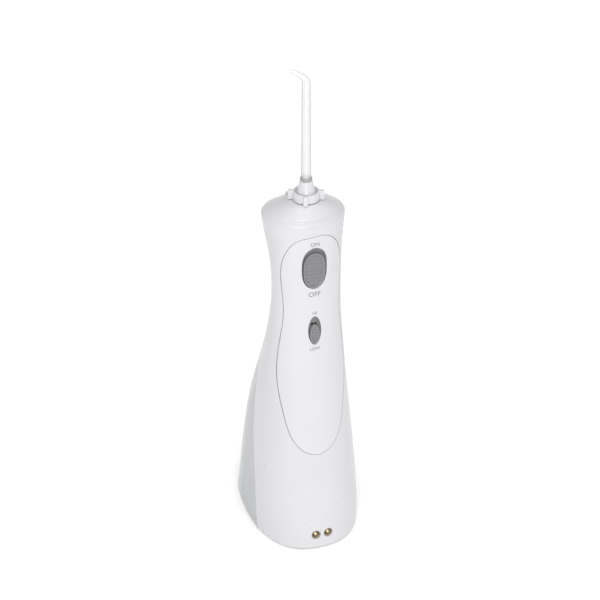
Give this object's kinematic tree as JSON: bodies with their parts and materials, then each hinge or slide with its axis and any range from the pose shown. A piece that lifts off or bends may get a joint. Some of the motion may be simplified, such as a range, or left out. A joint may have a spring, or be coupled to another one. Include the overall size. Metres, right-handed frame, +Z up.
{
  "type": "water flosser",
  "caption": "Handheld cordless water flosser with a clip-on clear tank, slide switches for power and pressure, and an angled jet tip on a rotating knob.",
  "frame": {"origin": "middle of the footprint, on the surface the object stands on", "axes": "+Z up. The front, with the switches, faces -Y. +X is to the right of someone who faces the front. The jet tip stands on the line X = 0, Y = -20.5 mm."},
  "size_m": [0.0673, 0.0989, 0.2974],
  "materials": {
    "white_shell": "gloss",
    "grey_slider": "satin",
    "grey_liner": "satin",
    "clear_tank": "clear gloss",
    "clear_tip": "clear gloss",
    "rubber_seal": "matte",
    "soft_tube": "satin",
    "brass_contact": "satin",
    "steel_parts": "satin",
    "nickel_strip": "satin",
    "white_gear": "satin",
    "inner_plastic": "matte",
    "dark_plastic": "matte",
    "board_green": "satin",
    "cell_wrap": "gloss"
  },
  "bodies": {
    "housing": {"front_housing": "white_shell", "rear_housing": "white_shell", "control_panel": "white_shell", "top_cap": "white_shell", "bottom_cover": "white_shell", "cover_screws": "steel_parts", "power_slot_liner": "grey_liner", "power_switch": "dark_plastic", "pressure_slot_liner": "grey_liner", "pressure_switch": "dark_plastic", "circuit_board": "board_green", "board_parts": "dark_plastic", "contact_holder": "dark_plastic", "charge_contacts": "brass_contact", "battery_holder": "inner_plastic", "battery_tabs": "nickel_strip", "battery_cell_left": "cell_wrap", "battery_cell_middle": "cell_wrap", "battery_cell_right": "cell_wrap", "motor_can": "steel_parts", "motor_end_cap": "inner_plastic", "gearbox_frame": "inner_plastic", "frame_screws": "steel_parts", "gear_axle": "steel_parts", "pump_cylinder": "inner_plastic", "valve_block": "inner_plastic", "inlet_valve": "rubber_seal", "outlet_valve": "rubber_seal", "inlet_hose": "soft_tube", "outlet_hose": "soft_tube", "inlet_spout": "inner_plastic", "spout_oring": "rubber_seal", "head_plate": "inner_plastic", "tip_seat": "inner_plastic", "seat_oring": "rubber_seal", "tip_latch": "inner_plastic", "eject_spring": "steel_parts", "piston": "white_gear", "piston_seal": "rubber_seal"},
    "power_slider": {"power_slider": "grey_slider"},
    "pressure_slider": {"pressure_slider": "grey_slider"},
    "motor_rotor": {"motor_shaft": "steel_parts", "pinion": "white_gear"},
    "drive_gear": {"drive_gear": "white_gear", "crank_pin": "steel_parts"},
    "connecting_rod": {"connecting_rod": "white_gear", "wrist_pin": "steel_parts"},
    "knob": {"tip_knob": "white_shell", "knob_retainer": "steel_parts"},
    "tip": {"jet_tip": "clear_tip", "tip_ring": "grey_liner"},
    "eject_button": {"eject_button": "white_shell"},
    "reservoir": {"reservoir": "clear_tank", "uptake_tube": "soft_tube", "inlet_filter": "dark_plastic", "door_hinge_pin": "steel_parts"},
    "reservoir_door": {"reservoir_door": "clear_tank", "door_seal": "rubber_seal"}
  },
  "joints": [
    {"name": "power_slide", "type": "slide", "parent": "housing", "child": "power_slider", "axis": [0, 0, 1], "range_m": [0, 0.003]},
    {"name": "pressure_slide", "type": "slide", "parent": "housing", "child": "pressure_slider", "axis": [0, 0, 1], "range_m": [0, 0.0046]},
    {"name": "knob_spin", "type": "hinge", "parent": "housing", "child": "knob", "pos_m": [0, -0.0205, 0.224], "axis": [0, 0, 1], "continuous": true},
    {"name": "tip_pull", "type": "slide", "parent": "knob", "child": "tip", "axis": [0, 0, 1], "range_m": [0, 0.028]},
    {"name": "eject_press", "type": "slide", "parent": "housing", "child": "eject_button", "axis": [0, 0, -1], "range_m": [0, 0.0018], "stiffness_N_per_m": 400, "deforming": ["eject_spring"]},
    {"name": "gear_spin", "type": "hinge", "parent": "housing", "child": "drive_gear", "pos_m": [0, -0.022, 0.1145], "axis": [0, 1, 0], "continuous": true},
    {"name": "motor_spin", "type": "hinge", "parent": "housing", "child": "motor_rotor", "pos_m": [0, -0.0252, 0.1], "axis": [0, 0, 1], "continuous": true},
    {"name": "rod_turn", "type": "hinge", "parent": "drive_gear", "child": "connecting_rod", "pos_m": [0, -0.0187, 0.1185], "axis": [0, 1, 0], "continuous": true},
    {"name": "reservoir_slide", "type": "slide", "parent": "housing", "child": "reservoir", "axis": [0, 0, -1], "range_m": [0, 0.13]},
    {"name": "door_hinge", "type": "hinge", "parent": "reservoir", "child": "reservoir_door", "pos_m": [0, 0.03587, 0.04786], "axis": [-1, 0, 0], "range_deg": [0, 100]}
  ],
  "couplings": [
    {"joint": "motor_spin", "follows": "gear_spin", "ratio": 6},
    {"joint": "rod_turn", "follows": "gear_spin", "ratio": -1}
  ]
}
